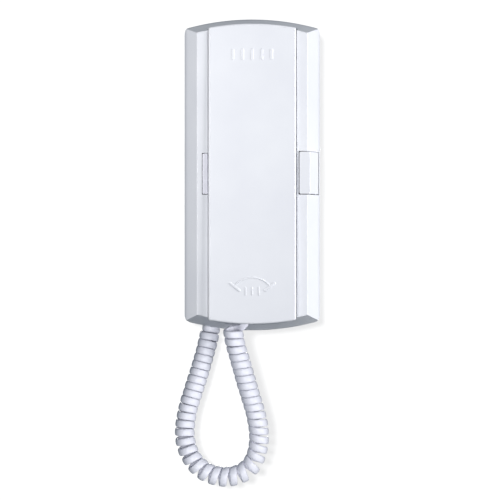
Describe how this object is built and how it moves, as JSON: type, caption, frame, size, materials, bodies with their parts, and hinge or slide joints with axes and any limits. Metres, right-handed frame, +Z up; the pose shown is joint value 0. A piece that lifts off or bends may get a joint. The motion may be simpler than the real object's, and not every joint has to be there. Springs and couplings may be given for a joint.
{
  "type": "slimline wall phone",
  "caption": "Slim wall-mounted phone: a bevelled base, a flat lift-off handset in its channel, a door button, a light key and a curly cord.",
  "frame": {"origin": "centre of the base's rear face, on the wall", "axes": "+X to the phone's right as seen from the front, +Z up, the phone faces -Y"},
  "size_m": [0.0981, 0.0368, 0.3154],
  "materials": {
    "body_plastic": "satin moulded ABS, cool white",
    "key_plastic": "translucent pale violet",
    "screw_steel": "zinc plated",
    "weight_steel": "plain rolled bar",
    "spring_steel": "drawn wire",
    "board": "green solder mask",
    "terminal_plastic": "moulded nylon",
    "socket_plastic": "moulded nylon",
    "switch_plastic": "moulded nylon",
    "black_plastic": "moulded",
    "plunger_plastic": "acetal",
    "can_metal": "sleeved can",
    "resistor_paint": "lacquered",
    "pad_rubber": "soft rubber",
    "capsule_metal": "drawn can",
    "plug_plastic": "clear polycarbonate",
    "cord_jacket": "soft satin PVC"
  },
  "bodies": {
    "base": {"wall_plate": "body_plastic", "front_cover": "body_plastic", "cover_screws": "screw_steel", "main_board": "board", "board_screws": "screw_steel", "terminal_block": "terminal_plastic", "terminal_screws": "screw_steel", "base_socket": "socket_plastic", "call_sounder": "black_plastic", "capacitors": "can_metal", "resistors": "resistor_paint", "control_chip": "black_plastic", "door_switch": "switch_plastic", "light_switch": "switch_plastic", "hook_switch": "switch_plastic", "cradle_pads": "pad_rubber", "door_spring": "spring_steel", "light_spring": "spring_steel", "hook_spring": "spring_steel", "base_plug": "plug_plastic", "cord_coil": "cord_jacket"},
    "handset": {"handset_front": "body_plastic", "handset_back": "body_plastic", "handset_screws": "screw_steel", "receiver_gasket": "pad_rubber", "receiver_capsule": "capsule_metal", "microphone_boot": "pad_rubber", "microphone": "capsule_metal", "handset_weight": "weight_steel", "handset_socket": "socket_plastic", "handset_plug": "plug_plastic", "cord_lead": "cord_jacket"},
    "door_button": {"door_button": "body_plastic"},
    "light_key": {"light_key": "key_plastic"},
    "hook_plunger": {"hook_plunger": "plunger_plastic"}
  },
  "joints": [
    {"name": "handset_lift", "type": "slide", "parent": "base", "child": "handset", "axis": [0, -1, 0], "range_m": [0, 0.04]},
    {"name": "door_press", "type": "slide", "parent": "base", "child": "door_button", "axis": [0, 1, 0], "range_m": [0, 0.0015], "stiffness_N_per_m": 600, "deforming": ["door_spring"]},
    {"name": "light_press", "type": "slide", "parent": "base", "child": "light_key", "axis": [0, 1, 0], "range_m": [0, 0.0012], "stiffness_N_per_m": 600, "deforming": ["light_spring"]},
    {"name": "hook_rise", "type": "slide", "parent": "base", "child": "hook_plunger", "axis": [0, -1, 0], "range_m": [0, 0.003], "deforming": ["hook_spring"]}
  ],
  "couplings": [
    {"joint": "hook_rise", "follows": "handset_lift", "ratio": 0.075}
  ]
}
